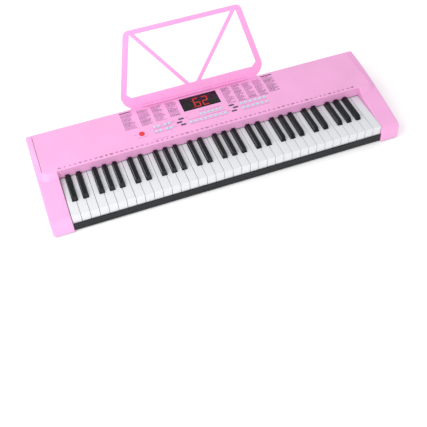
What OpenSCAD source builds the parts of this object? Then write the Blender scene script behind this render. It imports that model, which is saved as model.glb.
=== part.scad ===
// Portable electronic keyboard with 61 full-size keys, a pink case, a control panel with a
// number display, and a lift-off music rest that plugs into a slot along the rear edge.
//
// Millimetres. X runs along the keys with the low notes at -X, Y runs from the player to the
// rear, Z is up. The case is drawn with Y = 0 at the front strip and Z = 0 at its floor, and
// placed() moves it so that the origin is at the feet, under the middle of the whole object.

/* [Case] */
// Width over both cheeks
case_w = 955; // [948:1:970]
// Depth from the front strip to the rear wall
case_d = 293; // [291:1:296]
// Height of the rear edge above the case floor
rear_h = 82; // [81:0.5:84]
// Height of the black front strip
strip_h = 22; // [20:0.5:23]
// How far the cheeks stand in front of the strip
nose_out = 4; // [3:0.5:6]
// Height of a cheek just behind its rounded nose
nose_h = 44; // [42:0.5:46]
// Radius of the rounded nose
nose_r = 20; // [16:1:22]
// Wall thickness of the mouldings
wall = 2.6; // [2.4:0.1:3]
// Height of the rubber feet
foot_h = 4; // [3:0.5:8]

/* [Panel] */
// Distance of the panel's front edge from the strip
panel_y = 140; // [139.5:0.5:141]
// Height of the panel's front edge
panel_z = 78; // [76:0.5:80]
// Height of the lower edge of the panel's front face
panel_lip_z = 52.5; // [52.5:0.5:54]
// Width of the flat of the panel, between the shoulders over both cheeks
panel_w = 922; // [900:2:930]
// Width of the display window
window_w = 106; // [98:1:107]
// Depth of the display window
window_d = 51; // [44:1:52]
// Diameter of the power button
power_d = 14; // [12:0.5:16]
// Travel of the panel buttons
button_travel = 0.8; // [0.5:0.1:1]

/* [Keys] */
// Spacing of the white keys
pitch = 23.5; // [23.3:0.1:23.5]
// Gap between neighbouring keys
key_gap = 1; // [0.8:0.1:1.2]
// Height of the white keys' top
white_top = 48.75; // [48:0.25:49]
// How far the black keys stand above the white ones
black_rise = 11; // [10:0.5:12]
// Distance from the strip to the front of the black keys
black_front = 50; // [46:1:52]
// How far the front of a key goes down
key_dip = 10; // [8:0.5:10]

/* [Music rest] */
// Height of the rest above the panel, along its own slope
rest_h = 212; // [200:1:220]
// Thickness of the rest
rest_t = 4.5; // [4:0.5:4.5]
// How far the rest leans back from the vertical, in degrees
rest_lean = 18; // [14:0.5:20]
// Half the rest's width where it leaves the slot
rest_foot = 183.5; // [175:0.5:190]
// How far the rest stands to one side of the keys' centre
rest_x = -4; // [-6:0.5:0]

/* [Hidden] */
NOTES = ["c", "cs", "d", "ds", "e", "f", "fs", "g", "gs", "a", "as", "b"];
BLACKS = [1, 3, 6, 8, 10];
COMB_NOTES = [[0, 4, 7, 11], [2, 5, 9], BLACKS];
COMB_TAGS = ["cegb", "dfa", "black"];
FIRST_OCTAVE = 2;
SINGLE_OCTAVES = [3, 4];
COMB_OCTAVES = [2, 5, 6];
TOP_OCTAVE = 7;
function key_node(o, n) = str("key_", NOTES[n], o);
function comb_node(o, c) = str("keys_", COMB_TAGS[c], "_", o);

pink = [0.96, 0.66, 0.82];
rest_pink = [0.97, 0.56, 0.79];
black_plastic = [0.07, 0.07, 0.08];
pale_cyan = [0.76, 0.90, 0.93];
board_green = [0.10, 0.35, 0.20];
steel = [0.72, 0.73, 0.75];

slice_t = 0.01;       // thickness of the slices that a hull joins
cut = 1;              // how far a cutter runs past the face that it opens
root = 1.2;           // how far a boss is rooted in the wall above it
slack = 0.4;          // gap between a moving or fitted piece and its opening
case_half = case_w / 2;
key_half = 18 * pitch;            // 36 white keys side by side
cheek_in = key_half + 0.8;        // inner face of a cheek
cheek_inner = cheek_in + wall;     // where the room inside a cheek begins
rear_in = case_d - wall;

// Cheek outline: an arc up the nose, then a crown that levels out just below the panel
cheek_h = rear_h - 1;             // the crown's height at the rear
nose_turn = 78;                   // degrees of arc from vertical to the crown's slope
nose_y = -nose_out + nose_r * (1 - cos(nose_turn));
crown_power = 1.6;
crown_steps = 12;
nose_steps = 6;
corner_r = 8;
corner_steps = 5;
function crown(y) =
    cheek_h - (cheek_h - nose_h) * pow((case_d - y) / (case_d - nose_y), crown_power);
function nose_point(r, a) = [-nose_out + nose_r - r * cos(a),
                             nose_h - nose_r * sin(nose_turn) + r * sin(a)];
// Outline of the cheek, moved inwards by inset, with its lower corners at floor_z
function cheek_outline(inset, floor_z) = concat(
    [[-nose_out + inset, floor_z]],
    [for (i = [0:nose_steps - 1]) nose_point(nose_r - inset, i * nose_turn / nose_steps)],
    [for (i = [0:crown_steps])
        let (y = nose_y + i * (case_d - inset - nose_y) / crown_steps) [y, crown(y) - inset]],
    [[case_d - inset, floor_z]]);

// The panel is a slightly sloping plane
panel_slope = atan((rear_h - panel_z) / (case_d - panel_y));
panel_half = panel_w / 2;
raise_y = [110, 136, 205, case_d]; // the panel rises over the cheeks between the first two
shoulder_solid = 20;              // how far the case is solid inside the panel's flat
room_y = [145, 151];              // the room below the panel rises between these
shoulder_run = 9;                 // the panel falls to the cheek's crown in two slopes
shoulder_drop = [0.25, 0.8];      // share of that height lost after each slope
seam_size = [1.2, 133];           // groove along the edge of the panel's flat
seam_depth = 1.2;
face_y = panel_y - 1.8;           // lower edge of the panel's front face
function panel_at(y) = panel_z + (y - panel_y) * tan(panel_slope);
function roof_at(y) = y >= raise_y[1] ? panel_at(y) : crown(y);

// Panel controls: x, and v along the panel from its front edge
window_at = [-2, 111.5];
window_size = [window_w, window_d];
window_rim = 3;
power_at = [-186, 47];
button_size = [8.5, 6];
bar_size = [14, 4];
left_buttons = [for (v = [42, 59.5], x = [-147, -135.5, -118, -106.5]) [x, v]];
centre_buttons = concat([for (i = [0:7]) [-51 + 14 * i, 42]],
                        [for (i = [0:5]) [-16 + 11.2 * i, 62.5]]);
right_buttons = [for (v = [42, 60.5], i = [0:5]) [99 + 13.6 * i, v]];
// Three bars in a column, the middle one moved outwards. side is -1 or 1.
function bar_places(side) = [for (i = [0:2]) [side * (i == 1 ? 80 : 72), 40 + 11.6 * i]];
cap_top = 1.5;                    // how far a button stands above the panel
cap_foot = -9;                    // lower end of a button, below the panel's surface
comb_web = [-6.5, -5.5];          // the flexible web that joins the caps of one group
module_size = [108, 44];          // the four-digit display module
digit_at = window_at + [4, 3.5];  // the digits' middle
digit_size = [18, 36];
digit_pitch = 24;
digit_bar = 3;
digit_gap = 0.5;
digit_w = [-5.5, -5];
board_w = [-13.6, -12];           // the panel board, below the panel's surface
board_x = 205;
board_v = [22, 130];
board_post = [198, 28, 118];      // x, and the two distances from the front edge

// Keys
third = 3 * pitch / 5;            // width of a key's tail between C and E
fourth = 4 * pitch / 7;           // and between F and B
WHITE_OF = [0, 0, 1, 1, 2, 3, 3, 4, 4, 5, 5, 6];
key_front = 3.4;
key_depth = 12;                   // height of a key's side walls
key_skin = 2;
key_plate = 3;
skirt_z = strip_h - 1.2;          // lower edge of a white key's front
head_end = black_front - key_gap;
key_rear = 212;
comb_rear = [213, 220, 227];
comb_bar = [white_top - 16.4, white_top - 13.2];
comb_bar_w = 6;
pivot_y = 206;
rib_y = [108, 112];
dome_top = 21.5;
dome_r = 3.5;
dome_y = 110;
dip_at_dome = key_dip * (pivot_y - dome_y) / (pivot_y - key_front);
rib_z = dome_top + slack + dip_at_dome;
black_w = 13;
black_top_w = 10.6;
black_nose = 5;                   // run of the sloping front
black_end = 137.3;                // the raised part stops just short of the panel
black_tail = 1.5;                 // height of the tail above the white keys
function octave_x(o) = -key_half + (o - FIRST_OCTAVE) * 7 * pitch;
function slot_left(n) = n <= 5 ? n * third : 3 * pitch + (n - 5) * fourth;
function tail_x(o, n) = [octave_x(o) + slot_left(n), octave_x(o) + slot_left(n + 1)];
function middle(pair) = (pair[0] + pair[1]) / 2;
function is_black(n) = len(search(n, BLACKS)) > 0;

// Key frame
frame_y = [10, 232];
frame_z = [10, 12];
stop_y = [18, 30];
felt_y = [19, 29];
felt_z = [24.9, 27.4];
guide_y = [34, 38];
guide_top = 36.5;
rail_y = [200, 231];
rail_top = white_top - 17.5;
contact_y = [92, 128];
contact_t = 1.6;
rubber_y = [98, 122];
rubber_t = 1.4;

// Floor, screws, battery bay
floor_rear = rear_in - slack;
screw_r = 1.5;
pilot_r = 1.6;
boss_r = 4;
pad_r = 5;
pad_top = 8;
head_r = 3;
sink_r = 3.3;
sink_top = 4;
screw_end = 22;
rear_screw_y = 262;
front_screw_y = 14;
cheek_screws = [for (s = [-1, 1], y = [22, rear_screw_y]) [s * 440, y]];
rear_screws = [for (s = [-1, 1]) [s * 264, rear_screw_y]];
frame_screws = [for (x = [-264, -88, 88, 264]) [x, front_screw_y]];
bay_x = 85;
bay_y = [236, 274];
bay_top = 20;
bay_rim = 2;
cover_t = 2.4;
rib_xs = [for (i = [-4:4]) 100 * i];

// Inner units
speaker_x = 335;
speaker_y = 259;
speaker_r = 23;
speaker_flat = 46;                // straight stretch of the racetrack-shaped basket
main_x = [110, 250];
main_y = [240, 284];
main_z = [14, 15.6];
socket_z = 30;
power_x = -230;
audio_xs = [-200, -175];
socket_depth = 14;
power_bore = 3;
power_bore_l = 10;
audio_bore = 1.8;
audio_bore_l = 12;
power_nose = 4.5;
audio_nose = 3.8;

// Music rest, drawn upright about the middle of the slot's mouth
rest_y = 287.4;
rest_z = panel_at(rest_y);
rest_deep = 18;                   // how far the rest reaches into its slot
rest_arc = 40;                    // radius of the lower corners
rest_taper = 0.253;               // how much each side comes in, per unit of height
rest_crown = 16;                  // radius of the upper corners
rest_side = 16;                   // width of the side bars
rest_band = 32;                   // top of the solid lower band
rest_top_bar = 12;
strut_w = 10;
lip_half = 150;
lip_out = 5;
lip_z = [3, 6];
slot_gap = 0.5;
rest_steps = 6;

// The whole object's box: the nose in front, the leaning rest behind
y_front = -nose_out;
y_back = rest_y + rest_t / 2 * cos(rest_lean) + rest_h * sin(rest_lean);
y_middle = (y_front + y_back) / 2;

// ---- helpers ----

module placed() translate([0, -y_middle, foot_h]) children();
module span(x, y, z) translate([x[0], y[0], z[0]]) cube([x[1] - x[0], y[1] - y[0], z[1] - z[0]]);
// Extrudes a (y, z) outline along X
module along_x(x) translate([x[0], 0, 0]) rotate([90, 0, 90]) linear_extrude(x[1] - x[0]) children();
// Extrudes an (x, z) outline along Y
module along_y(y) translate([0, y[1], 0]) rotate([90, 0, 0]) linear_extrude(y[1] - y[0]) children();
module both_sides() {
    children();
    mirror([1, 0, 0]) children();
}
module on_panel() translate([0, panel_y, panel_z]) rotate([panel_slope, 0, 0]) children();
// A block on the panel: centred on a place, w is its span along the panel's normal
module panel_block(place, size, w)
    translate([place[0] - size[0] / 2, place[1] - size[1] / 2, w[0]])
        cube([size[0], size[1], w[1] - w[0]]);
module in_rest() translate([rest_x, rest_y, rest_z]) rotate([-rest_lean, 0, 0]) children();
module post(x, y, z, r) translate([x, y, z[0]]) cylinder(h = z[1] - z[0], r = r, $fn = 32);
module at_screws(places) for (p = places) translate(p) children();

// ---- case ----

// Plan of one cheek, with its outer front corner rounded
module cheek_plan(inset) {
    r = corner_r - inset;
    cx = case_half - corner_r;
    cy = -nose_out + corner_r;
    polygon(concat(
        [[cheek_in, -nose_out + inset]],
        [for (i = [0:corner_steps])
            let (a = -90 + 90 * i / corner_steps) [cx + r * cos(a), cy + r * sin(a)]],
        [[case_half - inset, case_d], [cheek_in, case_d]]));
}

// A thin slice through the panel and its shoulder over a cheek; y is the slice's span, and
// the slice has the outline that the case has at station
module shoulder_slice(y, station) {
    top = roof_at(station);
    fall = top - crown(station);
    along_y(y) polygon([
        [cheek_in, nose_h], [cheek_in, top], [panel_half, top],
        [panel_half + shoulder_run, top - shoulder_drop[0] * fall],
        [case_half, top - shoulder_drop[1] * fall], [case_half, nose_h]]);
}

module shoulder() for (i = [0:len(raise_y) - 2]) hull() {
    shoulder_slice([raise_y[i], raise_y[i] + slice_t], raise_y[i]);
    shoulder_slice([raise_y[i + 1] - slice_t, raise_y[i + 1]], raise_y[i + 1]);
}

module cheek_body() {
    intersection() {
        along_x([cheek_in, case_half]) polygon(cheek_outline(0, 0));
        linear_extrude(rear_h + cut) cheek_plan(0);
    }
    shoulder();
}

// Room below the panel where it runs over a cheek, well inside the rounded shoulder
module shoulder_room() along_x([cheek_inner, panel_half - shoulder_solid]) polygon([
    [room_y[0], crown(room_y[0]) - wall], [room_y[1], panel_at(room_y[1]) - wall],
    [rear_in, rear_h - wall], [rear_in, nose_h], [room_y[0], nose_h]]);

module cheek_room() {
    intersection() {
        along_x([cheek_inner, case_half - wall]) polygon(cheek_outline(wall, -cut));
        translate([0, 0, -cut]) linear_extrude(rear_h + 2 * cut) cheek_plan(wall);
    }
    shoulder_room();
    // room for the floor under the inner wall
    span([cheek_in - cut, cheek_inner + cut], [wall - nose_out, rear_in], [-cut, wall]);
}

module panel_shell() along_x([-cheek_in - cut, cheek_in + cut]) polygon([
    [face_y, panel_lip_z], [panel_y, panel_z], [case_d, rear_h], [case_d, 0], [rear_in, 0],
    [rear_in, rear_h - wall], [panel_y + wall, panel_z - wall], [face_y + wall, panel_lip_z]]);

module rest_pocket() in_rest()
    span([-rest_foot - 3, rest_foot + 3], [-rest_t / 2 - 2.5, rest_t / 2 + 2.5], [-rest_deep - 2, -2.2]);

module rest_channel() in_rest()
    span([-rest_foot - 1, rest_foot + 1], [-rest_t / 2 - slot_gap, rest_t / 2 + slot_gap],
         [-rest_deep, 10]);

module panel_openings() on_panel() {
    through = [-wall - cut, cut];
    room = 2 * slack;
    panel_block(window_at, window_size + [slack, slack], through);
    translate([power_at[0], power_at[1], through[0]])
        cylinder(h = through[1] - through[0], d = power_d + room, $fn = 48);
    for (p = concat(left_buttons, centre_buttons, right_buttons))
        panel_block(p, button_size + [room, room], through);
    for (p = concat(bar_places(-1), bar_places(1)))
        panel_block(p, bar_size + [room, room], through);
    for (s = [-1, 1])
        panel_block([s * panel_half, (case_d - panel_y) / 2], seam_size, [-seam_depth, cut]);
}

// A boss from the screw pad up into the shell above it
module boss(top) difference() {
    post(0, 0, [pad_top, top], boss_r);
    post(0, 0, [pad_top - cut, screw_end + 2], pilot_r);
}

module top_case() placed() color(pink) difference() {
    union() {
        difference() {
            union() {
                both_sides() cheek_body();
                panel_shell();
                rest_pocket();
            }
            both_sides() cheek_room();
        }
        for (p = concat(cheek_screws, rear_screws)) translate(p) boss(roof_at(p[1]) - wall + root);
        on_panel() for (s = [-1, 1], v = [board_post[1], board_post[2]])
            post(s * board_post[0], v, [board_w[1], -wall + root], 3);
    }
    rest_channel();
    panel_openings();
    for (x = concat([power_x], audio_xs))
        translate([x, case_d + cut, socket_z]) rotate([90, 0, 0])
            cylinder(h = wall + 2 * cut, r = power_nose + slack, $fn = 48);
}

module speaker_slots(side) for (i = [-3:3])
    translate([side * speaker_x + 11 * i - 1.75, speaker_y - 17, -cut])
        cube([3.5, 34, wall + 2 * cut]);

module bottom_case() placed() color(black_plastic) difference() {
    union() {
        span([-cheek_in, cheek_in], [0, floor_rear], [0, wall]);
        intersection() {
            both_sides() linear_extrude(wall) cheek_plan(wall + slack);
            span([-case_half, case_half], [-nose_out, floor_rear], [0, wall]);
        }
        span([-key_half, key_half], [0, wall], [0, strip_h]);
        for (x = rib_xs) span([x - 1, x + 1], [40, 225], [0, frame_z[0]]);
        at_screws(concat(cheek_screws, rear_screws, frame_screws)) post(0, 0, [0, pad_top], pad_r);
        span([-bay_x - 2, bay_x + 2], [bay_y[0] - 2, bay_y[1] + 2], [0, bay_top + 2]);
        for (x = main_x, y = main_y)
            post(x + (x < middle(main_x) ? 6 : -6), y + (y < middle(main_y) ? 6 : -6), [0, main_z[0]], 3);
        for (x = concat([power_x], audio_xs))
            span([x - 4, x + 4], [rear_in - socket_depth, floor_rear - 3], [0, socket_z - 6]);
    }
    at_screws(concat(cheek_screws, rear_screws, frame_screws)) {
        post(0, 0, [-cut, pad_top + cut], pilot_r + 0.1);
        post(0, 0, [-cut, sink_top], sink_r);
    }
    span([-bay_x, bay_x], bay_y, [-cut, cover_t + 0.1]);
    span([-bay_x + bay_rim, bay_x - bay_rim], [bay_y[0] + bay_rim, bay_y[1] - bay_rim], [0, bay_top]);
    speaker_slots(-1);
    speaker_slots(1);
}

module battery_cover() placed() color(black_plastic) difference() {
    span([-bay_x + slack, bay_x - slack], [bay_y[0] + slack, bay_y[1] - slack], [0, cover_t]);
    for (i = [-2:2]) span([6 * i - 1.5, 6 * i + 1.5], [bay_y[0] + 4, bay_y[0] + 14], [-cut, 0.8]);
}

module battery_contacts() placed() color(steel) {
    for (s = [-1, 1], y = [bay_y[0] + 10, bay_y[1] - 10])
        span([s * (bay_x - bay_rim - 0.3) - 0.3, s * (bay_x - bay_rim - 0.3) + 0.3],
             [y - 5, y + 5], [4, 16]);
}

module rubber_feet() placed() color([0.15, 0.15, 0.15])
    for (x = [-400, 400], y = [25, 250]) post(x, y, [-foot_h, 0], 10);

module case_screws() placed() color(steel)
    at_screws(concat(cheek_screws, rear_screws, frame_screws)) {
        post(0, 0, [sink_top - 2.4, sink_top], head_r);
        post(0, 0, [sink_top, screw_end], screw_r);
    }

// ---- panel controls ----

module display_window() placed() on_panel() color([0.03, 0.03, 0.04]) {
    panel_block(window_at, window_size, [-wall, slack]);
    panel_block(window_at, window_size + [2 * window_rim, 2 * window_rim], [-wall - 1.6, -wall]);
}

// One seven-segment digit as bars on the module's face, with its point at the lower right
module digit(x, v) {
    low = digit_size - [digit_bar, digit_bar];
    across = low[0] - digit_bar - digit_gap;
    upright = low[1] / 2 - digit_bar - digit_gap;
    for (i = [-1:1]) panel_block([x, v + i * low[1] / 2], [across, digit_bar], digit_w);
    for (sx = [-1, 1], sv = [-1, 1])
        panel_block([x + sx * low[0] / 2, v + sv * low[1] / 4], [digit_bar, upright], digit_w);
    panel_block([x + digit_pitch / 2, v - low[1] / 2], [digit_bar, digit_bar], digit_w);
}

module display_module() placed() on_panel() {
    color([0.12, 0.12, 0.13]) panel_block(window_at, module_size, [board_w[1], digit_w[0]]);
    color([0.9, 0.1, 0.08]) for (i = [-1.5:1.5])
        digit(digit_at[0] + digit_pitch * i, digit_at[1]);
}

module power_button() placed() on_panel() color([0.85, 0.08, 0.10])
    translate([power_at[0], power_at[1], 0]) {
        post(0, 0, [cap_foot, 2], power_d / 2);
        post(0, 0, [-5, -4], power_d / 2 + 1.5);
    }

// Button caps on one flexible web, as they come out of the mould
module button_comb(places, size) placed() on_panel() {
    xs = [for (p = places) p[0]];
    vs = [for (p = places) p[1]];
    for (p = places) panel_block(p, size, [cap_foot, cap_top]);
    span([min(xs) - size[0] / 2, max(xs) + size[0] / 2], [min(vs), max(vs)], comb_web);
}
module panel_buttons_left() color(pale_cyan) button_comb(left_buttons, button_size);
module panel_buttons_centre() color(pale_cyan) button_comb(centre_buttons, button_size);
module panel_buttons_right() color(pale_cyan) button_comb(right_buttons, button_size);
module bar_buttons_left() color(black_plastic) button_comb(bar_places(-1), bar_size);
module bar_buttons_right() color(black_plastic) button_comb(bar_places(1), bar_size);

module panel_board() placed() on_panel() {
    switch_w = [board_w[1], cap_foot - button_travel - 0.1];
    color(board_green) span([-board_x, board_x], board_v, board_w);
    color(black_plastic)
        for (p = concat(left_buttons, centre_buttons, right_buttons, bar_places(-1), bar_places(1),
                        [power_at]))
            panel_block(p, [4, 4], switch_w);
}

// ---- keys ----

module rib(x, top) span([x - 2, x + 2], rib_y, [rib_z, top]);

// head and tail are x spans; a white key is an open-bottomed shell
module white_key(head, tail, rear) {
    low = white_top - key_depth;
    difference() {
        union() {
            span(head, [key_front, head_end], [low, white_top]);
            span(head, [key_front, key_front + key_skin], [skirt_z, white_top]);
            span(tail, [head_end - key_skin, rear], [low, white_top]);
        }
        span(head + [key_skin, -key_skin], [key_front + key_skin, head_end - key_skin],
             [low - cut, white_top - key_plate]);
        span(tail + [key_skin, -key_skin], [head_end - 2 * key_skin, rear - 10],
             [low - cut, white_top - key_plate]);
    }
    rib(middle(tail), white_top - key_plate / 2);
}

module black_key(x, rear) {
    low = white_top - key_depth;
    top = white_top + black_rise;
    difference() {
        intersection() {
            along_y([black_front, rear]) polygon([
                [x - black_w / 2, low], [x + black_w / 2, low], [x + black_w / 2, white_top],
                [x + black_top_w / 2, top], [x - black_top_w / 2, top], [x - black_w / 2, white_top]]);
            along_x([x - black_w / 2, x + black_w / 2]) polygon([
                [black_front, low], [black_front, white_top + 2], [black_front + black_nose, top],
                [black_end, top], [black_end, white_top + black_tail],
                [rear, white_top + black_tail], [rear, low]]);
        }
        span([x - black_w / 2 + key_skin, x + black_w / 2 - key_skin], [black_front + 3, rear - 10],
             [low - cut, white_top - key_plate]);
    }
    rib(x, white_top - key_plate / 2);
}

// Key n semitones above the C of octave o, reaching back to rear
module key(o, n, rear) {
    tail = tail_x(o, n);
    head_x = octave_x(o) + WHITE_OF[n] * pitch;
    head = [head_x + key_gap / 2, head_x + pitch - key_gap / 2];
    if (is_black(n)) color(black_plastic) black_key(middle(tail), rear);
    else color("white") white_key(head, o == TOP_OCTAVE ? head : tail + [key_gap / 2, -key_gap / 2], rear);
}

// The keys of one octave that are moulded together, joined by a bar at the rear
module key_comb(o, c) {
    rear = comb_rear[c];
    centres = [for (n = COMB_NOTES[c]) middle(tail_x(o, n))];
    for (n = COMB_NOTES[c]) key(o, n, rear);
    color(c == 2 ? black_plastic : "white") {
        span([centres[0] - 3, centres[len(centres) - 1] + 3], [rear - comb_bar_w, rear], comb_bar);
        for (x = centres)
            span([x - 3, x + 3], [rear - comb_bar_w, rear],
                 [comb_bar[1] - cut, white_top - key_depth + cut]);
    }
}

// ---- key bed ----

module key_frame() placed() color([0.25, 0.25, 0.27]) difference() {
    union() {
        span([-key_half, key_half], frame_y, frame_z);
        span([-key_half, key_half], stop_y, [frame_z[0], felt_z[0]]);
        span([-key_half, key_half], rail_y, [frame_z[0], rail_top]);
        for (i = [0:35]) let (x = -key_half + (i + 0.5) * pitch)
            span([x - 1.5, x + 1.5], guide_y, [frame_z[0], guide_top]);
        at_screws(frame_screws) post(0, 0, [pad_top, 16], boss_r);
    }
    at_screws(frame_screws) post(0, 0, [pad_top - cut, screw_end + 2], pilot_r);
}

module felt_strip() placed() color([0.65, 0.12, 0.15])
    span([-key_half, key_half], felt_y, felt_z);

module key_contact_board() placed() color(board_green)
    span([-key_half + 2, key_half - 2], contact_y, [frame_z[1], frame_z[1] + contact_t]);

module key_contact_rubber() placed() color([0.3, 0.3, 0.32]) {
    z = frame_z[1] + contact_t;
    span([-key_half + 2, key_half - 2], rubber_y, [z, z + rubber_t]);
    for (o = [FIRST_OCTAVE:TOP_OCTAVE], n = [0:(o == TOP_OCTAVE ? 0 : 11)])
        translate([o == TOP_OCTAVE ? octave_x(o) + pitch / 2 : middle(tail_x(o, n)), dome_y, z])
            cylinder(h = dome_top - z, r = dome_r, $fn = 8);
}

// ---- inner units ----

module main_board() placed() {
    color(board_green) span(main_x, main_y, main_z);
    color(black_plastic) {
        span([150, 174], [262, 278], [main_z[1], main_z[1] + 2]);
        span([195, 209], [255, 269], [main_z[1], main_z[1] + 2]);
        for (i = [0:2]) span([222 + 8 * i, 227 + 8 * i], [270, 276], [main_z[1], main_z[1] + 9]);
    }
}

module ribbon_cables() placed() color([0.8, 0.8, 0.82]) {
    y = 246;
    top = panel_at(y) + board_w[0] - 0.2;
    for (x = [130, 170]) span([x, x + 20], [y, y + 0.8], [main_z[1], top]);
}

module racetrack(r, flat, z) {
    for (s = [-1, 1]) post(s * flat / 2, 0, z, r);
    span([-flat / 2, flat / 2], [-r, r], z);
}

module speaker(side) placed() translate([side * speaker_x, speaker_y, wall]) color([0.2, 0.2, 0.22]) {
    racetrack(speaker_r, speaker_flat, [0, 3]);
    racetrack(speaker_r - 6, speaker_flat - 6, [3, 14]);
    post(0, 0, [14, 28], 15);
}
module speaker_left() speaker(-1);
module speaker_right() speaker(1);

// A panel socket: a block inside the rear wall, with its nose through the wall
module socket(x, size, nose_r, bore_r, bore_l) difference() {
    union() {
        span([x - size / 2, x + size / 2], [rear_in - socket_depth, rear_in],
             [socket_z - 6, socket_z + 6]);
        translate([x, case_d, socket_z]) rotate([90, 0, 0])
            cylinder(h = wall + cut, r = nose_r, $fn = 48);
    }
    translate([x, case_d + cut, socket_z]) rotate([90, 0, 0])
        cylinder(h = bore_l + cut, r = bore_r, $fn = 48);
}
module power_socket() placed() color(black_plastic)
    socket(power_x, 13, power_nose, power_bore, power_bore_l);
module audio_sockets() placed() color(black_plastic)
    for (x = audio_xs) socket(x, 12, audio_nose, audio_bore, audio_bore_l);

// ---- music rest ----

function rest_half(z) = rest_foot + rest_arc / 2 + (rest_arc - z) * rest_taper;
// Right-hand edge of the rest, from the slot up to the middle of its top
rest_edge = concat(
    [[rest_foot, -rest_deep]],
    [for (i = [0:rest_steps]) let (a = -60 + 60 * i / rest_steps)
        [rest_foot - rest_arc / 2 + rest_arc * cos(a), rest_arc + rest_arc * sin(a)]],
    [for (i = [0:rest_steps]) let (a = 14 + 76 * i / rest_steps)
        [rest_half(rest_h - rest_crown) - rest_crown * (1 - cos(a)),
         rest_h - rest_crown + rest_crown * sin(a)]]);

module mirrored_outline(edge) polygon(concat(
    edge, [for (i = [len(edge) - 1:-1:0]) [-edge[i][0], edge[i][1]]]));

// The open area inside the frame, before the struts cross it
module rest_window() {
    top = rest_h - rest_top_bar;
    low_x = rest_half(rest_band + 12) - rest_side;
    polygon([[-low_x + 12, rest_band], [low_x - 12, rest_band], [low_x, rest_band + 12],
             [rest_half(top) - rest_side, top], [-rest_half(top) + rest_side, top],
             [-low_x, rest_band + 12]]);
}

// One strut from the lower band near the middle to an upper corner
module strut() {
    foot = [14, rest_band - 2];
    head = [rest_half(rest_h) - rest_side, rest_h - 6];
    run = head - foot;
    half = strut_w / 2 * norm(run) / run[1];
    polygon([foot - [half, 0], foot + [half, 0], head + [half, 0], head - [half, 0]]);
}

module music_rest() placed() color(rest_pink) in_rest() {
    along_y([-rest_t / 2, rest_t / 2]) {
        difference() {
            mirrored_outline(rest_edge);
            rest_window();
        }
        intersection() {
            mirrored_outline(rest_edge);
            both_sides() strut();
        }
    }
    span([-lip_half, lip_half], [-rest_t / 2 - lip_out, -rest_t / 2 + 0.5], lip_z);
    span([-lip_half, lip_half], [-rest_t / 2 - lip_out, -rest_t / 2 - lip_out + 1.6],
         [lip_z[0], lip_z[1] + 1.5]);
}

// ---- nodes ----

top_case();
bottom_case();
battery_cover();
music_rest();
display_window();
display_module();
power_button();
panel_buttons_left();
panel_buttons_centre();
panel_buttons_right();
bar_buttons_left();
bar_buttons_right();
key_frame();
felt_strip();
key_contact_board();
key_contact_rubber();
main_board();
panel_board();
ribbon_cables();
speaker_left();
speaker_right();
battery_contacts();
power_socket();
audio_sockets();
rubber_feet();
case_screws();
for (o = SINGLE_OCTAVES, n = [0:11])
    placed() key(o, n, key_rear);
for (o = COMB_OCTAVES, c = [0:2])
    placed() key_comb(o, c);
placed() key(TOP_OCTAVE, 0, key_rear);
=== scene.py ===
"""Looks of the pink electronic keyboard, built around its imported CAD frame.

Sizes are in millimetres in the case's own coordinates, as in part.scad: X = 0 is the middle of
the keys, Y = 0 the front strip and Z = 0 the case floor. at() turns them into the row frame.
"""

import math
import random

import bmesh
import bpy
from mathutils import Matrix, Vector


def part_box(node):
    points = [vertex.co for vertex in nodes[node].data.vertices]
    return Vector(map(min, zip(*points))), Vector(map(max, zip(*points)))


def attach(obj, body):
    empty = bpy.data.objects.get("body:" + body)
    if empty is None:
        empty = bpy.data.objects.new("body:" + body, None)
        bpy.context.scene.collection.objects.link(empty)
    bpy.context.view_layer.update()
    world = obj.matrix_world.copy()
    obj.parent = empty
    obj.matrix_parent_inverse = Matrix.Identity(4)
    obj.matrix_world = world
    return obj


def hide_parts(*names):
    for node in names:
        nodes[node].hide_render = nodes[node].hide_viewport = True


MM = 0.001

# Case, as in part.scad
CASE_HALF = 477.5
CASE_D = 293.0
REAR_H = 82.0
NOSE_OUT = 4.0
NOSE_H = 44.0
NOSE_R = 20.0
NOSE_TURN = math.radians(78)
CHEEK_H = 81.0
CHEEK_IN = 423.8
CROWN_POWER = 1.6
PANEL_Y = 140.0
PANEL_Z = 78.0
FACE_Y = 138.2
PANEL_HALF = 461.0
FACE_LOW = 52.5        # lower edge of the panel's front face
KEY_FRAME_Y = 10.0     # front of the key frame, whose place in the frame gives the origin
SLOPE = math.atan((REAR_H - PANEL_Z) / (CASE_D - PANEL_Y))

# Soft edges that only the looks have
TRIM = 0.05            # how far the softened skin lies inside the CAD case
SHOULDER = 16.0        # width of the fall from the panel to the crown
FALL_POWER = 1.5
PLATEAU_R = 20.0       # rounding of the panel's front corners over the cheeks
EDGE_IN = 2.5
EDGE_OUT = 4.5
EDGE_REAR = 5.0
EDGE_PANEL = 3.2
SKIN_LOW = -2.0        # the skins reach below the case, so their foot cuts nothing
SLOPE_STEP = 0.5       # half the step over which the crown's slope is measured
OVERLAP = 1.0          # the panel's skin reaches this far into the cheeks' skins
FRONT_Z = (SKIN_LOW, 4.0, 12.0)    # heights of the outline's points below the nose
REAR_Z = (40.0, SKIN_LOW)          # and down the rear
CHEEK_STEPS = 64       # along a cheek's crown
NOSE_STEPS = 12
INNER_STEPS = 5        # around a cheek's inner edge
OUTER_STEPS = 8        # around a cheek's outer edge and the panel's front edge
REAR_STEPS = 7         # around the rear edge
SHARP = 32             # faces that meet at more degrees keep a sharp edge
MERGE = 0.01           # a softened piece's points nearer than this are one
WELD = 0.001           # the same for the case, before its Booleans
# X of a cheek's stations: closer together where its surface falls from the panel
STATIONS = (431.0, 437.0, 443.0, 449.0, 454.0, 458.0, 460.5, 461.5, 463.0, 465.0, 467.5)

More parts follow.
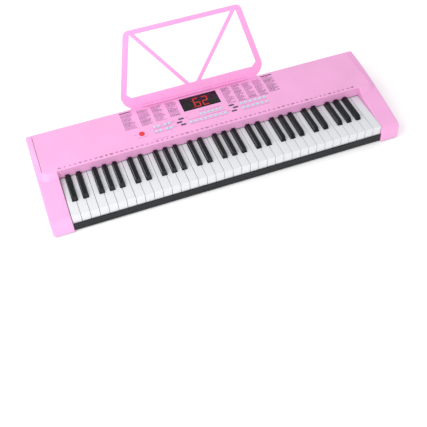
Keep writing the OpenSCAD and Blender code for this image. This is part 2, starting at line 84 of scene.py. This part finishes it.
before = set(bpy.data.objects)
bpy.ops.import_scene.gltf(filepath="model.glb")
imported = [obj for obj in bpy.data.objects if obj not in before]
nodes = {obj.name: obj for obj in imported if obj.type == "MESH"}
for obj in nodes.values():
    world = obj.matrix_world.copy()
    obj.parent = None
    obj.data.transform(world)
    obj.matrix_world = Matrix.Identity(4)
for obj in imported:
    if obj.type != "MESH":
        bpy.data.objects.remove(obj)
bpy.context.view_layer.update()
case_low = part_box("bottom_case")[0]
ORIGIN = Vector((0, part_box("key_frame")[0].y - KEY_FRAME_Y * MM, case_low.z))


def at(x, y, z):
    """A point of the case in the row frame, in metres."""
    return ORIGIN + Vector((x, y, z)) * MM


def on_panel(x, v, w=0.0):
    """A point given along the panel: v from its front edge, w above its surface."""
    y = PANEL_Y + v * math.cos(SLOPE) - w * math.sin(SLOPE)
    z = PANEL_Z + v * math.sin(SLOPE) + w * math.cos(SLOPE)
    return at(x, y, z)


# ---- materials ----

def new_material(name):
    """An empty node material and its Principled shader."""
    mat = bpy.data.materials.new(name)
    mat.use_nodes = True
    return mat, mat.node_tree, mat.node_tree.nodes["Principled BSDF"]


def noise(tree, scale, detail=2.0):
    """3-D noise in object coordinates, so that it stays on the piece."""
    coords = tree.nodes.new("ShaderNodeTexCoord")
    tex = tree.nodes.new("ShaderNodeTexNoise")
    tex.inputs["Scale"].default_value = scale
    tex.inputs["Detail"].default_value = detail
    tree.links.new(coords.outputs["Object"], tex.inputs["Vector"])
    return tex.outputs["Fac"]


def spread(tree, value, low, high):
    """Maps noise, which stays near 0.5, onto a range."""
    node = tree.nodes.new("ShaderNodeMapRange")
    node.inputs["From Min"].default_value = 0.3
    node.inputs["From Max"].default_value = 0.7
    node.inputs["To Min"].default_value = low
    node.inputs["To Max"].default_value = high
    tree.links.new(value, node.inputs["Value"])
    return node.outputs["Result"]


def mottle(tree, value, color, change):
    """The colour, darker and lighter by a share that follows the noise."""
    mix = tree.nodes.new("ShaderNodeMix")
    mix.data_type = "RGBA"
    dark = [c * (1 - change) for c in color]
    light = [min(1.0, c * (1 + change)) for c in color]
    mix.inputs["A"].default_value = (*dark, 1)
    mix.inputs["B"].default_value = (*light, 1)
    tree.links.new(value, mix.inputs["Factor"])
    return mix.outputs["Result"]


def bump(tree, value, depth, shader, strength=0.5):
    """Surface relief of a depth in millimetres."""
    node = tree.nodes.new("ShaderNodeBump")
    node.inputs["Strength"].default_value = strength
    node.inputs["Distance"].default_value = depth * MM
    tree.links.new(value, node.inputs["Height"])
    tree.links.new(node.outputs["Normal"], shader.inputs["Normal"])


def moulded(name, color, rough, change=0.03, grain=900.0, depth=0.03, coat=0.0, shine=0.5):
    """Moulded plastic or rubber: faint cloudiness, uneven gloss and a fine spark-eroded grain."""
    mat, tree, shader = new_material(name)
    cloud = noise(tree, 14.0, 3.0)
    fine = noise(tree, grain, 2.0)
    tree.links.new(mottle(tree, spread(tree, cloud, 0.0, 1.0), color, change),
                   shader.inputs["Base Color"])
    tree.links.new(spread(tree, noise(tree, 60.0), rough * 0.85, rough * 1.15),
                   shader.inputs["Roughness"])
    shader.inputs["Specular IOR Level"].default_value = shine
    shader.inputs["Coat Weight"].default_value = coat
    shader.inputs["Coat Roughness"].default_value = 0.15
    bump(tree, fine, depth, shader)
    return mat


def metal(name, color, rough):
    """Plated metal with fine scratches that spread its highlights."""
    mat, tree, shader = new_material(name)
    tree.links.new(mottle(tree, noise(tree, 40.0), color, 0.08), shader.inputs["Base Color"])
    tree.links.new(spread(tree, noise(tree, 300.0), rough * 0.7, rough * 1.3),
                   shader.inputs["Roughness"])
    shader.inputs["Metallic"].default_value = 1.0
    bump(tree, noise(tree, 2200.0), 0.02, shader)
    return mat


def felt(name, color):
    """Pressed felt: strong fine relief and a soft sheen."""
    mat, tree, shader = new_material(name)
    fibre = noise(tree, 1400.0, 4.0)
    tree.links.new(mottle(tree, fibre, color, 0.35), shader.inputs["Base Color"])
    shader.inputs["Roughness"].default_value = 0.95
    shader.inputs["Sheen Weight"].default_value = 0.5
    bump(tree, fibre, 0.3, shader)
    return mat


def smoked(name, color, alpha):
    """Smoked, polished plastic that the lit digits show through."""
    mat, tree, shader = new_material(name)
    tree.links.new(mottle(tree, noise(tree, 30.0), color, 0.2), shader.inputs["Base Color"])
    tree.links.new(spread(tree, noise(tree, 90.0), 0.05, 0.09), shader.inputs["Roughness"])
    shader.inputs["Alpha"].default_value = alpha
    return mat


def lit(name, color, strength):
    """A light-emitting segment with a slightly uneven glow."""
    mat, tree, shader = new_material(name)
    glow = mottle(tree, noise(tree, 200.0), color, 0.1)
    tree.links.new(glow, shader.inputs["Base Color"])
    tree.links.new(glow, shader.inputs["Emission Color"])
    shader.inputs["Emission Strength"].default_value = strength
    shader.inputs["Roughness"].default_value = 0.5
    return mat


PINK = moulded("pink_plastic", (0.89, 0.41, 0.715), 0.40, coat=0.05)
REST_PINK = moulded("rest_plastic", (0.95, 0.375, 0.735), 0.28, coat=0.2)
BLACK = moulded("black_plastic", (0.012, 0.014, 0.017), 0.42, change=0.1, depth=0.06, shine=0.25)
WHITE_KEY = moulded("key_white", (0.74, 0.75, 0.78), 0.16, change=0.01, depth=0.006, coat=0.4)
BLACK_KEY = moulded("key_black", (0.002, 0.003, 0.005), 0.16, change=0.1, depth=0.01, coat=0.3,
                    shine=0.15)
WINDOW = smoked("smoked_window", (0.010, 0.011, 0.014), 0.55)
DISPLAY = moulded("display_black", (0.012, 0.012, 0.013), 0.6, change=0.1)
DIGIT_ON = lit("digit_lit", (1.0, 0.03, 0.02), 3.2)
DIGIT_OFF = moulded("digit_dark", (0.035, 0.02, 0.02), 0.5)
POWER = moulded("power_red", (0.80, 0.012, 0.016), 0.16, coat=0.6, depth=0.01)
CYAN = moulded("button_cyan", (0.52, 0.74, 0.80), 0.45, depth=0.05)
BAR = moulded("bar_dark", (0.055, 0.065, 0.10), 0.5, change=0.08, depth=0.05)
FRAME_GREY = moulded("frame_grey", (0.045, 0.045, 0.048), 0.55)
FELT = felt("felt_red", (0.30, 0.02, 0.03))
BOARD = moulded("board_green", (0.012, 0.10, 0.035), 0.3, change=0.15, coat=0.4)
CONTACT_RUBBER = moulded("contact_rubber", (0.06, 0.06, 0.065), 0.6)
RIBBON = moulded("ribbon_grey", (0.45, 0.45, 0.47), 0.4)
SPEAKER = moulded("speaker_black", (0.03, 0.03, 0.032), 0.5, change=0.1)
CONTACT = metal("contact_metal", (0.75, 0.72, 0.64), 0.25)
SOCKET = moulded("socket_black", (0.012, 0.012, 0.014), 0.4)
FOOT = moulded("foot_rubber", (0.025, 0.025, 0.025), 0.75, grain=500.0, depth=0.12)
SCREW = metal("screw_steel", (0.55, 0.56, 0.58), 0.3)
INK = moulded("legend_ink", (0.36, 0.125, 0.32), 0.5, change=0.15)
# dark ink for the list headers, and also the painted shade in the panel's left groove
DARK_INK_AND_SEAM_SHADE = moulded("legend_dark_and_seam_shade", (0.055, 0.025, 0.06), 0.5, change=0.15)

LOOKS = {
    "bottom_case": BLACK, "battery_cover": BLACK, "music_rest": REST_PINK,
    "display_window": WINDOW, "power_button": POWER, "panel_buttons_left": CYAN,
    "panel_buttons_centre": CYAN, "panel_buttons_right": CYAN, "bar_buttons_left": BAR,
    "bar_buttons_right": BAR, "key_frame": FRAME_GREY, "felt_strip": FELT,
    "key_contact_board": BOARD, "key_contact_rubber": CONTACT_RUBBER, "main_board": BOARD,
    "panel_board": BOARD, "ribbon_cables": RIBBON, "speaker_left": SPEAKER,
    "speaker_right": SPEAKER, "battery_contacts": CONTACT, "power_socket": SOCKET,
    "audio_sockets": SOCKET, "rubber_feet": FOOT,
}
EDGES = {
    "bottom_case": 0.5, "battery_cover": 0.3, "music_rest": 1.3, "display_window": 0.3,
    "power_button": 1.2, "panel_buttons_left": 0.7, "panel_buttons_centre": 0.7,
    "panel_buttons_right": 0.7, "bar_buttons_left": 0.7, "bar_buttons_right": 0.7,
    "power_socket": 0.3, "audio_sockets": 0.3, "rubber_feet": 1.0,
}


def paint(obj, mat):
    """Gives the whole piece one material."""
    obj.data.materials.clear()
    obj.data.materials.append(mat)


def soften(obj, width, segments=3):
    """Rounds a piece's sharp edges by a width in millimetres, with modifiers only."""
    weld = obj.modifiers.new("weld", "WELD")
    weld.merge_threshold = MERGE * MM
    bevel = obj.modifiers.new("edges", "BEVEL")
    bevel.width = width * MM
    bevel.segments = segments
    bevel.limit_method = "ANGLE"
    bevel.angle_limit = math.radians(SHARP)
    bevel.harden_normals = True


def is_key(name):
    """True for a single key, such as key_cs3, and for a comb of keys, such as keys_dfa_2."""
    return name.startswith(("keys_", "key_")) and name[-1].isdigit()


def is_black_key(name):
    """True for key_cs3 and keys_black_2, among the keys."""
    return name.startswith("keys_black") or name.split("_")[1][1] == "s"


def dress_nodes():
    """Materials and soft edges for the CAD nodes that stay."""
    for name, mat in LOOKS.items():
        paint(nodes[name], mat)
        if name in EDGES:
            soften(nodes[name], EDGES[name])
    for name, obj in nodes.items():
        if is_key(name):
            black = is_black_key(name)
            paint(obj, BLACK_KEY if black else WHITE_KEY)
            soften(obj, 1.0 if black else 0.7)


# ---- mesh helpers ----

def place(name, data):
    """A new object in the scene, for a mesh, a camera or a light."""
    obj = bpy.data.objects.new(name, data)
    bpy.context.scene.collection.objects.link(obj)
    return obj


def solid(name, bm):
    """A new object from a bmesh, which is used up."""
    mesh = bpy.data.meshes.new(name)
    bm.to_mesh(mesh)
    bm.free()
    return place(name, mesh)


def turn_outward(bm):
    """Makes every face look out of its body."""
    bmesh.ops.recalc_face_normals(bm, faces=bm.faces)


def piece(name, bm, mat):
    """Turns a bmesh into a piece that rides on the case."""
    turn_outward(bm)
    obj = solid(name, bm)
    paint(obj, mat)
    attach(obj, "case")
    return obj


def loft(bm, rows):
    """Quads between rows of points, each row closed on itself, with both ends capped."""
    rings = [[bm.verts.new(p) for p in row] for row in rows]
    count = len(rings[0])
    for a, b in zip(rings, rings[1:]):
        for i in range(count):
            j = (i + 1) % count
            bm.faces.new((a[i], a[j], b[j], b[i]))
    bm.faces.new(rings[0][::-1])
    bm.faces.new(rings[-1])


# ---- softened skin of the top case ----

def crown(y):
    """Height of a cheek's crown."""
    nose_y = -NOSE_OUT + NOSE_R * (1 - math.cos(NOSE_TURN))
    share = max(0.0, (CASE_D - y) / (CASE_D - nose_y))
    return CHEEK_H - (CHEEK_H - NOSE_H) * share ** CROWN_POWER


def panel_at(y):
    """Height of the panel's surface."""
    return PANEL_Z + (y - PANEL_Y) * math.tan(SLOPE)


def rise(x, y):
    """How far the surface stands above the crown: the panel, with shoulders that fall away."""
    dx = abs(x) - (PANEL_HALF - PLATEAU_R)
    dy = (PANEL_Y + PLATEAU_R) - y
    if dx > 0 and dy > 0:
        away = math.hypot(dx, dy) - PLATEAU_R
    else:
        away = max(dx, dy) - PLATEAU_R
    t = min(1.0, max(0.0, away / SHOULDER))
    return (panel_at(y) - crown(y)) * (1 - t ** FALL_POWER)


def quarter(steps):
    """Angles of a quarter turn, ends included."""
    return [math.pi / 2 * i / steps for i in range(steps + 1)]


def cheek_line():
    """The cheek's outline from the foot of its nose to the foot of its rear: point and normal."""
    front = -NOSE_OUT + TRIM
    low = NOSE_H - NOSE_R * math.sin(NOSE_TURN)
    line = [((front, z), (-1.0, 0.0)) for z in (*FRONT_Z, low)]
    centre = (-NOSE_OUT + NOSE_R, low)
    r = NOSE_R - TRIM
    for i in range(1, NOSE_STEPS + 1):
        a = NOSE_TURN * i / NOSE_STEPS
        line.append(((centre[0] - r * math.cos(a), centre[1] + r * math.sin(a)),
                     (-math.cos(a), math.sin(a))))
    start = line[-1][0][0]
    end = CASE_D - EDGE_REAR
    for i in range(1, CHEEK_STEPS + 1):
        y = start + (end - start) * i / CHEEK_STEPS
        tilt = math.atan2(crown(y + SLOPE_STEP) - crown(y - SLOPE_STEP), 2 * SLOPE_STEP)
        line.append(((y, crown(y) - TRIM), (-math.sin(tilt), math.cos(tilt))))
    top = line[-1][0][1]
    for a in quarter(REAR_STEPS)[1:]:
        line.append(((end + (EDGE_REAR - TRIM) * math.sin(a), top - EDGE_REAR * (1 - math.cos(a))),
                     (math.sin(a), math.cos(a))))
    line += [((CASE_D - TRIM, z), (1.0, 0.0)) for z in REAR_Z]
    return line


def cheek_stations():
    """Across a cheek: x, and how far the rounded edge lies inside the outline there."""
    inner = CHEEK_IN + TRIM
    outer = CASE_HALF - TRIM
    stations = []
    for a in quarter(INNER_STEPS):
        stations.append((inner + EDGE_IN * (1 - math.cos(a)), EDGE_IN * (1 - math.sin(a))))
    stations += [(x, 0.0) for x in STATIONS]
    for a in quarter(OUTER_STEPS):
        stations.append((outer - EDGE_OUT * (1 - math.sin(a)), EDGE_OUT * (1 - math.cos(a))))
    return stations


def cheek_skin(side):
    """A closed body with the cheek's rounded outer surface."""
    bm = bmesh.new()
    line = cheek_line()
    rows = []
    for x, inset in cheek_stations():
        row = []
        for (y, z), (ny, nz) in line:
            py = y - ny * inset
            pz = z - nz * inset
            pz += rise(x, py) * max(0.0, nz)
            row.append(at(side * x, py, max(pz, SKIN_LOW)))
        rows.append(row)
    loft(bm, rows)
    turn_outward(bm)
    return bm


def panel_skin():
    """A closed body with the panel's surface, its rounded front edge and rounded rear edge."""
    bm = bmesh.new()
    tilt = math.atan((PANEL_Y - FACE_Y) / (PANEL_Z - FACE_LOW))
    reach = EDGE_PANEL * math.tan((math.pi / 2 - tilt + SLOPE) / 2)
    centre = Vector((PANEL_Y + reach * math.cos(SLOPE) + EDGE_PANEL * math.sin(SLOPE),
                     PANEL_Z + reach * math.sin(SLOPE) - EDGE_PANEL * math.cos(SLOPE)))
    outline = [(FACE_Y + TRIM, SKIN_LOW), (FACE_Y + TRIM, FACE_LOW)]
    first = math.pi - tilt
    last = math.pi / 2 + SLOPE
    for i in range(OUTER_STEPS + 1):
        a = first + (last - first) * i / OUTER_STEPS
        outline.append((centre.x + (EDGE_PANEL - TRIM) * math.cos(a),
                        centre.y + (EDGE_PANEL - TRIM) * math.sin(a)))
    end = CASE_D - EDGE_REAR
    for a in quarter(REAR_STEPS):
        outline.append((end + (EDGE_REAR - TRIM) * math.sin(a),
                        panel_at(end) - TRIM - EDGE_REAR * (1 - math.cos(a))))
    outline.append((CASE_D - TRIM, SKIN_LOW))
    half = CHEEK_IN + EDGE_IN + OVERLAP
    loft(bm, [[at(x, y, z) for y, z in outline] for x in (-half, half)])
    turn_outward(bm)
    return bm


def combine(obj, other, operation):
    """Applies an exact Boolean and removes the other object."""
    mod = obj.modifiers.new("combine", "BOOLEAN")
    mod.operation = operation
    mod.solver = "EXACT"
    mod.object = other
    bpy.context.view_layer.update()
    done = bpy.data.meshes.new_from_object(
        obj.evaluated_get(bpy.context.evaluated_depsgraph_get()))
    obj.modifiers.clear()
    obj.data = done
    bpy.data.objects.remove(other)


def shade(obj, degrees):
    """Smooth shading, broken where faces meet at more than an angle or at a Boolean's seam."""
    limit = math.radians(degrees)
    bm = bmesh.new()
    bm.from_mesh(obj.data)
    for face in bm.faces:
        face.smooth = True
    for edge in bm.edges:
        edge.smooth = len(edge.link_faces) == 2 and edge.calc_face_angle() < limit
    bm.to_mesh(obj.data)
    bm.free()


def top_case():
    """The CAD case trimmed by a softened skin: CAD inside, rounded and blended outside."""
    bm = bmesh.new()
    bm.from_mesh(nodes["top_case"].data)
    bmesh.ops.remove_doubles(bm, verts=bm.verts, dist=WELD * MM)
    turn_outward(bm)
    shell = solid("case_shell", bm)
    skin = solid("skin", cheek_skin(1))
    combine(skin, solid("skin_left", cheek_skin(-1)), "UNION")
    combine(skin, solid("skin_panel", panel_skin()), "UNION")
    combine(shell, skin, "INTERSECT")
    shade(shell, SHARP)
    weights = shell.modifiers.new("normals", "WEIGHTED_NORMAL")
    weights.keep_sharp = True
    paint(shell, PINK)
    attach(shell, "case")
    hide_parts("top_case")


# ---- display ----

WINDOW_X = -2.0
WINDOW_V = 111.5
MODULE_HALF = (54.0, 22.0)
DIGIT_AT = (WINDOW_X + 4.0, WINDOW_V + 3.5)
DIGIT_PITCH = 24.0
DIGIT_SIZE = (18.0, 36.0)
DIGIT_BAR = 3.0
DIGIT_GAP = 0.5
DIGIT_W = (-5.5, -5.0)
MODULE_BACK = -12.0
SEGMENTS = {"6": "acdefg", "2": "abdeg", " ": ""}
SHOWN = (" ", "6", "2", " ")


def circle(x, y, r, count=24):
    """Points around a circle."""
    angles = [math.tau * i / count for i in range(count)]
    return [(x + r * math.cos(a), y + r * math.sin(a)) for a in angles]


def segment_outline(x, v, length, upright):
    """A six-sided segment, pointed at both ends."""
    h = DIGIT_BAR / 2
    pts = [(-length / 2, 0), (-length / 2 + h, h), (length / 2 - h, h),
           (length / 2, 0), (length / 2 - h, -h), (-length / 2 + h, -h)]
    return [(x + (b if upright else a), v + (a if upright else b)) for a, b in pts]


def digit_outlines(x, v):
    """The seven segments of a digit by letter, and its point as p."""
    w = DIGIT_SIZE[0] - DIGIT_BAR
    h = DIGIT_SIZE[1] - DIGIT_BAR
    across = w - DIGIT_GAP
    upright = h / 2 - DIGIT_GAP
    out = {}
    for letter, row in zip("agd", (1, 0, -1)):
        out[letter] = segment_outline(x, v + row * h / 2, across, False)
    for letter, sx, sv in (("f", -1, 1), ("b", 1, 1), ("e", -1, -1), ("c", 1, -1)):
        out[letter] = segment_outline(x + sx * w / 2, v + sv * h / 4, upright, True)
    out["p"] = circle(x + DIGIT_PITCH / 2, v - h / 2, DIGIT_BAR / 2, 12)
    return out


def rectangle(x0, x1, v0, v1):
    """Corners of a rectangle."""
    return [(x0, v0), (x1, v0), (x1, v1), (x0, v1)]


def add_prism(bm, outline, w):
    """An outline on the panel, raised from w[0] to w[1]."""
    loft(bm, [[on_panel(x, v, level) for x, v in outline] for level in w])


def display():
    """The display module: a dark body, unlit segments and the lit ones."""
    body = bmesh.new()
    half_x, half_v = MODULE_HALF
    add_prism(body, rectangle(WINDOW_X - half_x, WINDOW_X + half_x, WINDOW_V - half_v,
                              WINDOW_V + half_v), (MODULE_BACK, DIGIT_W[0]))
    dark = bmesh.new()
    bright = bmesh.new()
    for i, shown in enumerate(SHOWN):
        x = DIGIT_AT[0] + DIGIT_PITCH * (i - (len(SHOWN) - 1) / 2)
        on = SEGMENTS[shown] + ("p" if i == 0 else "")
        for letter, outline in digit_outlines(x, DIGIT_AT[1]).items():
            add_prism(bright if letter in on else dark, outline, DIGIT_W)
    module = piece("display_body", body, DISPLAY)
    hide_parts("display_module")
    piece("digits_unlit", dark, DIGIT_OFF)
    piece("digits_lit", bright, DIGIT_ON)


# ---- printing on the panel, and painted shade in its left groove ----

PRINT_W = (0.0, 0.04)      # a film of ink on the softened surface
LIST_COLUMNS = (           # left edge, right edge, front, rear along Y
    (-222, -190, 212, 276), (-176, -146, 214, 276), (-136, -106, 216, 276), (-95, -66, 218, 276),
    (66, 90, 210, 276), (98, 122, 210, 276), (128, 152, 208, 274), (159, 183, 208, 274),
    (190, 220, 212, 276))
LIST_HEADS = ((-223, -191, 281.5), (189, 222, 281.5))
HEAD_H = 3.4
LINE_PITCH = 3.1
LINE_H = 1.6
NUMBER_W = 3.6             # width of the number in front of every line of a list
NUMBER_GAP = 1.2
LINE_ENDS = (0, 0, 3, 6, 12)       # how far a line may stop before its column's edge
WORD = (2.0, 6.5)
WORD_GAP = (0.7, 1.5)
WORD_LEAST = 1.0
DARK_SHARE = 0.3           # share of the lines that are printed darker
LEGEND_H = 1.3
LEGENDS = (                # left edge, right edge, and distance along the panel
    (-152, -103, 51), (-152, -103, 34.5), (-20, 44, 71), (-55, 50, 34), (-55, 50, 51.5),
    (96, 172, 51.5), (96, 172, 33.5), (96, 172, 69), (-208, -197, 47), (-200, -172, 34.5),
    (-99, -91, 40), (-99, -91, 60), (-165, -122, 13), (-60, -52, 62), (52, 62, 44))
MARK_V = (4.2, 7.0)        # two rows of small type
MARK_H = 1.8
MARK_REACH = (2.0, 5.0)    # half the width of a mark
KEY_PITCH = 23.5           # of the white keys
MARK_STEP = KEY_PITCH * 7 / 12     # seven white keys and five black ones make an octave
MARK_COUNT = 61
KEY_HALF = 423.0
SEAM_HALF = 0.58           # half the width of the painted shade in the groove, just inside its walls
SEAM_V = (10.2, 142.8)
SEAM_W = (-1.19, -0.5)


def add_line(bm, rng, x0, x1, v, height):
    """A line of unreadable type: short dashes with word gaps."""
    x = x0
    while x < x1 - WORD_LEAST:
        run = min(rng.uniform(*WORD), x1 - x)
        add_prism(bm, rectangle(x, x + run, v, v + height), PRINT_W)
        x += run + rng.uniform(*WORD_GAP)


def add_list(inks, rng, column):
    """A column of numbered lines of uneven length, some of them printed darker."""
    x0, x1, y0, y1 = column
    line = y1 - PANEL_Y
    while line > y0 - PANEL_Y:
        bm = inks[rng.random() < DARK_SHARE]
        add_prism(bm, rectangle(x0, x0 + NUMBER_W, line, line + LINE_H), PRINT_W)
        start = x0 + NUMBER_W + NUMBER_GAP
        add_line(bm, rng, start, x1 - rng.choice(LINE_ENDS), line, LINE_H)
        line -= LINE_PITCH


def add_key_marks(inks, rng):
    """A small mark above every key."""
    for i in range(MARK_COUNT):
        x = -KEY_HALF + MARK_STEP * (i + 0.5)
        bm = inks[rng.random() < DARK_SHARE]
        for v in MARK_V:
            half = rng.uniform(*MARK_REACH)
            add_line(bm, rng, x - half, x + half, v, MARK_H)


def seam_shadow():
    """Painted shade: a dark film on the floor of the groove along the panel's left end, where
    shadow falls.
    """
    bm = bmesh.new()
    x = -PANEL_HALF
    add_prism(bm, rectangle(x - SEAM_HALF, x + SEAM_HALF, *SEAM_V), SEAM_W)
    # painted shade: only the left groove gets this dark film, the right one stays pink
    piece("painted_seam_shade", bm, DARK_INK_AND_SEAM_SHADE)


def printing():
    """Song and voice lists, button legends and the marks above the keys, all as plain dashes."""
    rng = random.Random(7)
    pale = bmesh.new()
    dark = bmesh.new()
    inks = (pale, dark)
    for column in LIST_COLUMNS:
        add_list(inks, rng, column)
    for x0, x1, y in LIST_HEADS:
        v = y - PANEL_Y
        add_prism(dark, rectangle(x0, x1, v - HEAD_H / 2, v + HEAD_H / 2), PRINT_W)
    add_key_marks(inks, rng)
    for x0, x1, v in LEGENDS:
        add_line(pale, rng, x0, x1, v, LEGEND_H)
    piece("panel_legends", pale, INK)
    piece("panel_headers", dark, DARK_INK_AND_SEAM_SHADE)


# ---- screws ----

SCREW_PLACES = [(x, y) for x in (-440, 440) for y in (22, 262)] \
    + [(x, 262) for x in (-264, 264)] + [(x, 14) for x in (-264, -88, 88, 264)]
SCREW_RINGS = (            # radius and height, from the rounded head up to the tip
    (2.2, 1.75), (2.75, 1.95), (3.0, 2.5), (3.0, 4.0), (1.5, 4.0), (1.5, 20.5), (0.5, 22.0))
SCREW_SHARP = 35
CROSS_ARM = 1.7
CROSS_HALF = 0.4
CROSS_TAPER = (0.6, 0.9)
CROSS_Z = (1.0, 3.0)


def screws():
    """Pan-head screws in the places of the CAD ones."""
    bm = bmesh.new()
    for px, py in SCREW_PLACES:
        loft(bm, [[at(x, y, z) for x, y in circle(px, py, r)] for r, z in SCREW_RINGS])
    turn_outward(bm)
    return bm


def cross_recess():
    """Cutters for the cross recess of every screw."""
    bm = bmesh.new()
    a, h = CROSS_ARM, CROSS_HALF
    plus = [(-a, -h), (-h, -h), (-h, -a), (h, -a), (h, -h), (a, -h),
            (a, h), (h, h), (h, a), (-h, a), (-h, h), (-a, h)]
    tx, ty = CROSS_TAPER
    for px, py in SCREW_PLACES:
        loft(bm, [[at(px + x, py + y, CROSS_Z[0]) for x, y in plus],
                  [at(px + x * tx, py + y * ty, CROSS_Z[1]) for x, y in plus]])
    turn_outward(bm)
    return bm


def case_screws():
    """The case's ten screws, with their cross recesses."""
    body = solid("screw_set", screws())
    combine(body, solid("recesses", cross_recess()), "DIFFERENCE")
    shade(body, SCREW_SHARP)
    paint(body, SCREW)
    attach(body, "case")
    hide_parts("case_screws")


# ---- camera, floor and light ----

CAMERA_AT = (-433.853, -1199.278, 1367.660)
CAMERA_TURN = (17.2746, 49.3293, 3.5452)     # yaw to the right, pitch down, roll, in degrees
SENSOR = 36.0
FOCAL = 60.552
FAR = 50.0


FLOOR_HALF = 9.0
FLOOR_Z = -0.0005
FLOOR_COLOR = (0.93, 0.93, 0.93)
FLOOR_GLOW = 0.2
SURROUND = 0.70
SOFT_BOXES = (             # name, place, aim, size and power; the rear one lights the keys' edges
    ("key_light", (-1.4, -0.7, 1.8), (-0.1, 0, 0.05), 1.4, 25),
    ("front_light", (-0.2, -2.2, 0.7), (0, 0, 0.05), 1.6, 8.5),
    ("rear_light", (-1.2, 1.5, 1.3), (0, 0, 0), 0.5, 5))


def camera():
    """The camera, aimed by yaw, pitch and roll."""
    yaw, pitch, roll = (math.radians(a) for a in CAMERA_TURN)
    forward = Vector((math.sin(yaw) * math.cos(pitch), math.cos(yaw) * math.cos(pitch),
                      -math.sin(pitch)))
    right = Vector((math.cos(yaw), -math.sin(yaw), 0))
    down = forward.cross(right)
    rolled_right = right * math.cos(roll) + down * math.sin(roll)
    rolled_down = down * math.cos(roll) - right * math.sin(roll)
    data = bpy.data.cameras.new("camera")
    data.lens = FOCAL
    data.sensor_width = SENSOR
    data.clip_end = FAR
    obj = place("camera", data)
    turn = Matrix((rolled_right, -rolled_down, -forward)).transposed().to_4x4()
    obj.matrix_world = Matrix.Translation(at(*CAMERA_AT)) @ turn
    bpy.context.scene.camera = obj


def floor():
    """A plain pale floor, just below the feet."""
    bm = bmesh.new()
    corners = rectangle(-FLOOR_HALF, FLOOR_HALF, -FLOOR_HALF, FLOOR_HALF)
    bm.faces.new([bm.verts.new((x, y, FLOOR_Z)) for x, y in corners])
    obj = solid("floor", bm)
    mat, tree, shader = new_material("floor_white")
    tree.links.new(mottle(tree, noise(tree, 3.0), FLOOR_COLOR, 0.01), shader.inputs["Base Color"])
    shader.inputs["Roughness"].default_value = 0.9
    shader.inputs["Specular IOR Level"].default_value = 0.1
    shader.inputs["Emission Color"].default_value = (1, 1, 1, 1)
    shader.inputs["Emission Strength"].default_value = FLOOR_GLOW
    paint(obj, mat)


def area_light(name, spot, aim, size, power):
    """A square soft box at a spot, aimed at a point, all in metres."""
    data = bpy.data.lights.new(name, "AREA")
    data.size = size
    data.energy = power
    obj = place(name, data)
    obj.location = spot
    obj.rotation_mode = "QUATERNION"
    obj.rotation_quaternion = (Vector(aim) - Vector(spot)).to_track_quat("-Z", "Y")


def light():
    """Soft studio light: a bright surround and three soft boxes."""
    world = bpy.data.worlds.new("studio")
    world.use_nodes = True
    background = world.node_tree.nodes["Background"]
    background.inputs["Color"].default_value = (1, 1, 1, 1)
    background.inputs["Strength"].default_value = SURROUND
    bpy.context.scene.world = world
    for name, spot, aim, size, power in SOFT_BOXES:
        area_light(name, spot, aim, size, power)
    bpy.context.scene.view_settings.view_transform = "Standard"


camera()
floor()
light()
dress_nodes()
top_case()
display()
seam_shadow()
printing()
case_screws()
